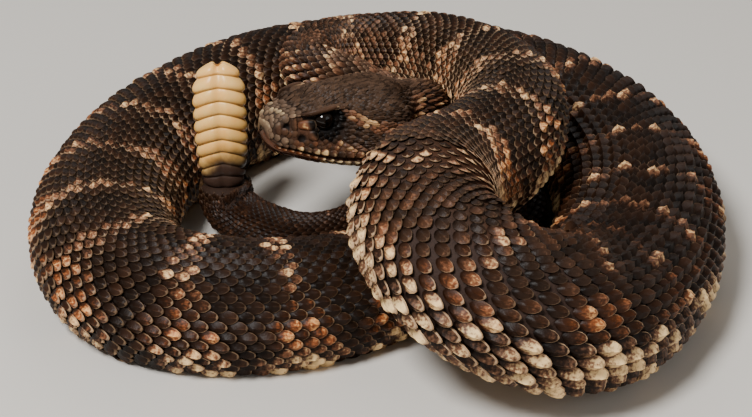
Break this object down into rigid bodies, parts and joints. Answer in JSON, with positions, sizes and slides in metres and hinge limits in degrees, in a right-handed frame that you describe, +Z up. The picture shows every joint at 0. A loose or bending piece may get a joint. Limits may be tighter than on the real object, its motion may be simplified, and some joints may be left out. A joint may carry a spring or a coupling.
{
  "type": "southern pacific rattlesnake",
  "caption": "Life-size still model of a dark rattlesnake lying coiled and alert on flat ground, head turned back over the coil and rattle raised.",
  "frame": {"origin": "on the floor, under the middle of the coil's box", "axes": "+X to the right as the animal is seen with its head and rattle in front, +Y away to the back of the coil, +Z up"},
  "size_m": [0.1705, 0.1726, 0.0542],
  "materials": {
    "head_skin": "dark grey-brown keeled scales, cream to orange-brown on the lips",
    "body_skin": "dull, strongly keeled dark brown scales with thin pale crossbands",
    "eye": "wet and glossy",
    "rattle_horn": "dry cream to amber horn, dark brown at the base"
  },
  "bodies": {
    "root": {"head": "head_skin", "eye_left": "eye", "eye_right": "eye", "neck": "body_skin", "torso_1": "body_skin", "torso_2": "body_skin", "torso_3": "body_skin", "torso_4": "body_skin", "torso_5": "body_skin", "torso_6": "body_skin", "torso_7": "body_skin", "torso_8": "body_skin", "torso_9": "body_skin", "torso_10": "body_skin", "torso_11": "body_skin", "torso_12": "body_skin", "torso_13": "body_skin", "torso_14": "body_skin", "tail": "body_skin", "rattle": "rattle_horn"}
  },
  "joints": []
}
